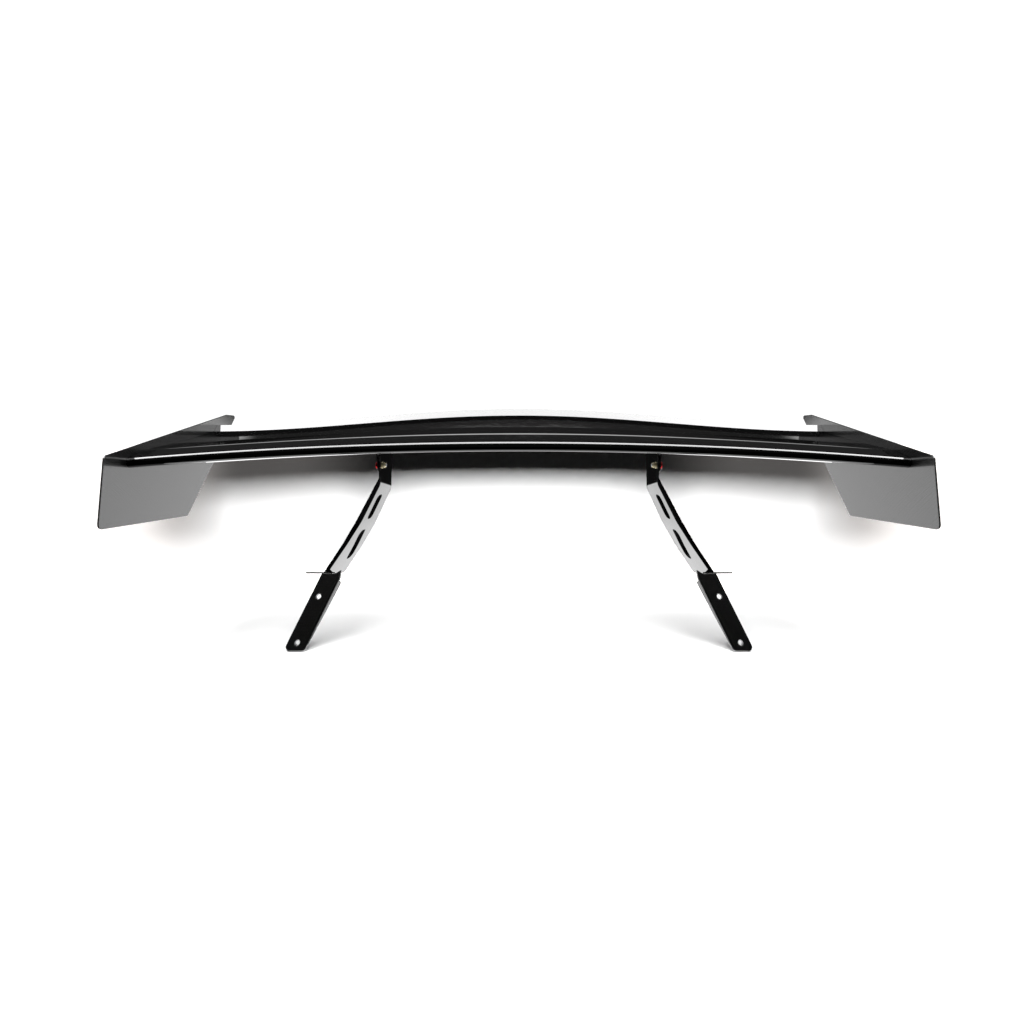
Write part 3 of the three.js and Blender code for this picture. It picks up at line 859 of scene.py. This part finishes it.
def pivot_washer():
    profile = [
        (3.3, 0),
        (7.2, 0),
        (7.5, 0.3),
        (7.5, 1.2),
        (6.5, 4.2),
        (6.2, 4.5),
        (5.8, 4.5),
        (3.3, 1.9),
        (3.3, 0),
    ]
    return turned(profile, (WASHER_X, *PIVOT), (1, 0, 0))


BOLT_REACH = 9  # how far the pivot bolt stands out of the tab, inside the nut


def pivot_bolt():
    inside = TAB_X - GAP - BOLT_REACH
    top = WASHER_X + CUP_WASHER - inside
    profile = [
        (0.01, 0),
        (2.6, 0),
        (3, 0.4),
        (3, top - 2.5),
        (5.3, top - 0.2),
        (5.1, top),
        (2.1, top),
        (2.0, top - 0.1, "hex"),
        (2.0, top - 2, "hex"),
        (0.01, top - 2.3),
    ]
    return turned(profile, (inside, *PIVOT), (1, 0, 0))


def pivot_nut():
    profile = [
        (3.2, 0),
        (6.2, 0),
        (6.5, 0.3),
        (6.4, 1.0),
        (5.0, 1.2, "hex"),
        (5.0, 5.2, "hex"),
        (4.8, 5.6),
        (4.2, 5.7),
        (4.2, 7.4),
        (3.9, 7.8),
        (3.2, 7.8),
        (3.2, 0),
    ]
    return turned(profile, (TAB_X - GAP, *PIVOT), (-1, 0, 0))


FLAT_WASHER = 1.2


def adjust_washer():
    profile = [
        (3.3, 0),
        (6.8, 0),
        (7, 0.2),
        (7, 1.0),
        (6.8, FLAT_WASHER),
        (3.5, FLAT_WASHER),
        (3.3, 1.0),
        (3.3, 0),
    ]
    return turned(profile, (WASHER_X, *ADJUST), (1, 0, 0))


def adjust_bolt():
    seat = WASHER_X + FLAT_WASHER + GAP
    shank = seat - (TAB_X + 0.9)
    profile = [
        (0.01, -shank),
        (3, -shank),
        (3, 0),
        (4.8, 0),
        (5, 0.2),
        (5, 5.6),
        (4.6, 6),
        (2.6, 6),
        (2.5, 5.9, "hex"),
        (2.5, 3, "hex"),
        (0.01, 2.7),
    ]
    return turned(profile, (seat, *ADJUST), (1, 0, 0))


PLATE_SCREW = 13
FLANGE_SCREW = 14
stand_materials = [blade_carbon, base_carbon, foot_carbon]
for side, flip in (("left", False), ("right", True)):
    def shaped(name, shape, body, materials, nodes):
        shape = mirrored(shape) if flip else shape
        piece(f"{name}_{side}", shape, body, materials, nodes)

    def lathed(name, bm, body, material, node):
        turned_piece(name, bm, body, material, [node], flip)

    def on_wing(name, bm, material, node):
        lathed(name, bm, "wing", material, node)

    def on_stands(name, bm, material, node):
        lathed(name, bm, "stands", material, node)

    shaped("end_plate", endplate(), "wing", [endplate_carbon],
           [f"endplate_{side}"])
    shaped("stand_body", stand(), "stands", stand_materials, [f"stand_{side}"])
    for which, y in zip(("front", "middle", "rear"), ENDPLATE_SCREWS_Y):
        seat = (HALF_SPAN + ENDPLATE_THICK + GAP, y, (upper_z(y) + lower_z(y)) / 2)
        screw = button_screw(seat, ALONG_X, PLATE_SCREW)
        on_wing(f"plate_screw_{side}_{which}", screw, screw_black,
                f"endplate_screw_{side}_{which}")
    for which, y in zip(("front", "rear"), BRACKET_SCREWS_Y):
        at, down = lower_point(WEB_X + FLANGE_WIDTH * 0.58, y)
        screw = button_screw(at + down * (FLANGE_THICK + 3 * GAP), down, FLANGE_SCREW)
        on_wing(f"flange_screw_{side}_{which}", screw, screw_steel,
                f"bracket_screw_{side}_{which}")
    for which, place in zip(("upper", "lower"), FOOT_HOLES):
        on_stands(f"bush_{side}_{which}", foot_bush(place), bush_aluminium,
                  f"foot_bush_{side}_{which}")
    on_stands(f"cup_washer_{side}", pivot_washer(), washer_red,
              f"pivot_washer_{side}")
    on_stands(f"pivot_screw_{side}", pivot_bolt(), screw_steel,
              f"pivot_bolt_{side}")
    on_stands(f"collar_nut_{side}", pivot_nut(), nut_zinc, f"pivot_nut_{side}")
    on_stands(f"flat_washer_{side}", adjust_washer(), screw_steel,
              f"adjust_washer_{side}")
    on_stands(f"adjust_screw_{side}", adjust_bolt(), screw_black,
              f"adjust_bolt_{side}")

# CAD nodes that stay: the brackets and what is inside the wing.
kept = {"front_spar": inner_laminate, "rear_spar": inner_laminate}
for side in ("left", "right"):
    kept[f"wing_bracket_{side}"] = bracket_black
    kept[f"end_rib_{side}"] = inner_laminate
    kept[f"mount_rib_{side}"] = inner_laminate
for node, material in kept.items():
    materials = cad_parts[node].data.materials
    materials.clear()
    materials.append(material)

# ---- stage ----
STAGE_REACH = 9  # metres to each side, to the front and to the back
FLOORS_MEET = 0.10
WALL_Y = 0.33
WALL_TOP = 0.39
SWEEP = 0.09  # radius of the curve from the floor into the wall
SWEEP_STEPS = 16
PAPER = (0.80, 0.82)  # least and most of the light that the paper gives back
# Colour of the painted light on the wall and the floor, slightly warm.
PAINTED_LIGHT_COLOUR = (1.0, 0.95, 0.92, 1)
# Painted light on the wall: a faint glow inside the wing's shadow towards its sides, and a strong
# one at the far ends.
WALL_PAINTED_LIGHT = [(0.34, 0.62, 0.085), (0.75, 1.15, 0.9)]  # rises from |x| to |x|, by this much
# Painted light at the wall's foot, where the front light on the curve falls off.
WALL_FOOT_PAINTED_LIGHT = (0.0, 0.1, 1.1, 0.0)  # between two heights, from one level to the other
# Painted light on the floor, rising with the distance from the origin.
FLOOR_PAINTED_LIGHT = (0.9, 2.4, 0.0, 1.1)  # the same between two distances from the origin


def strip(name, section, material):
    """A sheet that follows a section (y, z) and is wide along X. Only the camera sees it."""
    verts = [(x, y, z) for x in (-STAGE_REACH, STAGE_REACH) for y, z in section]
    count = len(section)
    faces = [(i, count + i, count + i + 1, i + 1) for i in range(count - 1)]
    mesh = bpy.data.meshes.new(name)
    mesh.from_pydata(verts, [], faces)
    mesh.shade_smooth()
    mesh.materials.append(material)
    obj = linked(name, mesh)
    obj.visible_diffuse = False
    obj.visible_glossy = False
    return obj


def wall_painted_light(g, where):
    """Painted light: an emission makes the wing's shadow on the wall paler towards its sides, and
    brightens the wall's ends and foot, where the light on it runs out.
    """
    apart = g.node("ShaderNodeSeparateXYZ")
    g.put(apart.inputs[0], where)
    out_x = g.math("ABSOLUTE", apart.outputs[0])
    ends = [g.ramp(out_x, start, stop, 0.0, level) for start, stop, level in WALL_PAINTED_LIGHT]
    return g.add(*ends, g.ramp(apart.outputs[2], *WALL_FOOT_PAINTED_LIGHT))


def floor_painted_light(g, where):
    """Painted light: the floor glows far from the wing, where the light on it falls off, so that its
    horizon isn't dark.
    """
    far = g.node("ShaderNodeVectorMath", operation="LENGTH")
    g.put(far.inputs[0], where)
    return g.ramp(far.outputs["Value"], *FLOOR_PAINTED_LIGHT)


def pale(name, painted_light_level, clear_back):
    """Matt white paper with painted light added as an emission. Its back can be clear, so that views
    from behind aren't blocked.
    """
    material, g = new_material(name)
    where = g.where()
    matt = g.node("ShaderNodeBsdfDiffuse")
    g.put(matt.inputs["Color"], g.ramp(g.noise(where, 3.0), 0.3, 0.7, *PAPER))
    # Painted light: an emission on the paper, whose strength the caller gives.
    glow = g.node("ShaderNodeEmission")
    glow.inputs["Color"].default_value = PAINTED_LIGHT_COLOUR
    g.put(glow.inputs["Strength"], painted_light_level(g, where))
    front = g.node("ShaderNodeAddShader")
    g.put(front.inputs[0], matt.outputs[0])
    g.put(front.inputs[1], glow.outputs[0])
    paper = front.outputs[0]
    if clear_back:
        mixer = g.node("ShaderNodeMixShader")
        g.put(mixer.inputs[0], g.node("ShaderNodeNewGeometry").outputs["Backfacing"])
        g.put(mixer.inputs[1], paper)
        g.put(mixer.inputs[2], g.node("ShaderNodeBsdfTransparent").outputs[0])
        paper = mixer.outputs[0]
    g.surface(paper)
    return material


def sweep_point(turn):
    return WALL_Y - SWEEP + SWEEP * math.sin(turn), SWEEP - SWEEP * math.cos(turn)


floor_white = pale("floor_white", floor_painted_light, False)
wall_white = pale("wall_white", wall_painted_light, True)
curve = [sweep_point(math.pi / 2 * k / SWEEP_STEPS) for k in range(SWEEP_STEPS + 1)]
floor_far = strip("floor_far", [(-STAGE_REACH, 0), (FLOORS_MEET, 0)], floor_white)
floor_near = strip("floor_near", [(FLOORS_MEET, 0), (WALL_Y - SWEEP, 0)], floor_white)
wall = strip("wall", [*curve, (WALL_Y, WALL_TOP)], wall_white)
floor_back = strip("floor_back", [(WALL_Y - SWEEP, 0), (STAGE_REACH, 0)], floor_white)


def add_surround():
    """A white dome around everything, for the camera only."""
    material, g = new_material("surround_white")
    glow = g.node("ShaderNodeEmission")
    glow.inputs["Strength"].default_value = 1.15
    g.surface(glow.outputs[0])
    bm = bmesh.new()
    bmesh.ops.create_uvsphere(bm, u_segments=48, v_segments=24, radius=STAGE_REACH - 0.5)
    mesh = bpy.data.meshes.new("surround")
    bm.to_mesh(mesh)
    bm.free()
    mesh.materials.append(material)
    surround = linked("surround", mesh)
    for ray in ("visible_diffuse", "visible_glossy", "visible_transmission", "visible_shadow"):
        setattr(surround, ray, False)


add_surround()

# ---- light ----
FILL_POWER = 42
TOP_POWER = 330


def area_light(name, at, target, size, power, receivers):
    """A soft light on some of the stage only. size is its width and height."""
    data = bpy.data.lights.new(name, "AREA")
    data.shape = "RECTANGLE"
    data.size, data.size_y = size
    data.energy = power
    obj = linked(name, data)
    obj.location = at
    obj.rotation_euler = (Vector(target) - Vector(at)).to_track_quat("-Z", "Y").to_euler()
    obj.visible_camera = False
    obj.visible_glossy = False
    group = bpy.data.collections.new(name + "_on")
    for receiver in receivers:
        group.objects.link(receiver)
    obj.light_linking.receiver_collection = group


area_light("front_fill", (0, -1.05, 0.54), (0, WALL_Y, 0.25), (0.6, 0.17), FILL_POWER, [wall])
area_light("top_soft", (0, -0.2, 2.4), (0, 0, 0), (3.2, 3.0), TOP_POWER,
           [floor_far, floor_near, floor_back])

# ---- what the gloss sees ----
# Heights are angles from the rear over the top, and sides are angles away from the middle plane,
# both in degrees. A band is (from, to, softness of its edges).
ALL_ROUND = -100.0  # below the lowest height that counts, and below every side angle
SOFTBOX_LEVEL = 21.0
SOFTBOX_HEIGHTS = (84.5, 126.0, 1.5)
SOFTBOX_SIDES = (ALL_ROUND, 46.0, 4.0)
STRIP_LOW = (24.0, 0.052)  # height in the middle, and how fast it sinks towards the sides
STRIP_HIGH = (37.2, 0.055)
STRIP_BOW = 1.5
STRIP_EDGE = 0.8
STRIP_LEVEL = (0, 36, 2.3, 0.5)  # between two side angles, from one level to the other
WHITE = 2.6  # radiance of the pale surroundings
LOW_WHITE_TOP = [(6.0, 30.0, -9.0, 1.5), (28.0, 33.0, 0.0, 5.5)]
SIDE_SIDES = (48.0, 100.0, 5.0)
SIDE_HEIGHTS = (ALL_ROUND, 62.0, 4.0)
AMBIENT = (8.0, 45.0, 0.02, 0.09)


def studio():
    """A long soft box from overhead to the front, and a dim strip low behind with dark around it.

    White lies under the horizon and to the sides. The low white stays lower in the middle.
    """
    world = bpy.data.worlds.new("studio")
    g = Graph(world)
    apart = g.node("ShaderNodeSeparateXYZ")
    g.put(apart.inputs[0], g.node("ShaderNodeTexCoord").outputs["Generated"])
    dx, dy, dz = apart.outputs
    height = g.times(g.math("ARCTAN2", dz, dy), math.degrees(1))
    side = g.math("ABSOLUTE", g.times(g.math("ARCSINE", dx), math.degrees(1)))

    def bowed(middle, fall):
        return g.math("SUBTRACT", middle, g.times(g.math("POWER", side, STRIP_BOW), fall))

    strip_light = g.times(
        g.band(height, bowed(*STRIP_LOW), bowed(*STRIP_HIGH), STRIP_EDGE),
        g.ramp(side, *STRIP_LEVEL, smooth=False),
    )
    softbox = g.times(
        g.band(height, *SOFTBOX_HEIGHTS), g.band(side, *SOFTBOX_SIDES), SOFTBOX_LEVEL
    )
    low_top = g.add(*[g.ramp(side, *rise_of_top) for rise_of_top in LOW_WHITE_TOP])
    low_white = g.times(g.band(height, ALL_ROUND, low_top, 1.5), WHITE)
    sides = g.times(g.band(side, *SIDE_SIDES), g.band(height, *SIDE_HEIGHTS), WHITE)
    white = g.math("MAXIMUM", low_white, sides)
    background = g.node("ShaderNodeBackground")
    level = g.add(strip_light, softbox, white, g.ramp(height, *AMBIENT))
    g.put(background.inputs["Strength"], level)
    g.surface(background.outputs[0], "ShaderNodeOutputWorld")
    world.cycles_visibility.camera = True
    world.cycles_visibility.diffuse = False
    bpy.context.scene.world = world


studio()

# ---- camera ----
CAMERA_AT = (0, -1.0255, 0.3705)
CAMERA_PITCH = math.radians(83)

camera_data = bpy.data.cameras.new("camera")
camera_data.lens = 17.578
camera_data.sensor_width = 36
camera_data.shift_x = -0.0068
camera_data.clip_start = 0.01
camera = linked("camera", camera_data)
camera.location = CAMERA_AT
camera.rotation_euler = (CAMERA_PITCH, 0, 0)
bpy.context.scene.camera = camera
bpy.context.scene.view_settings.view_transform = "Standard"
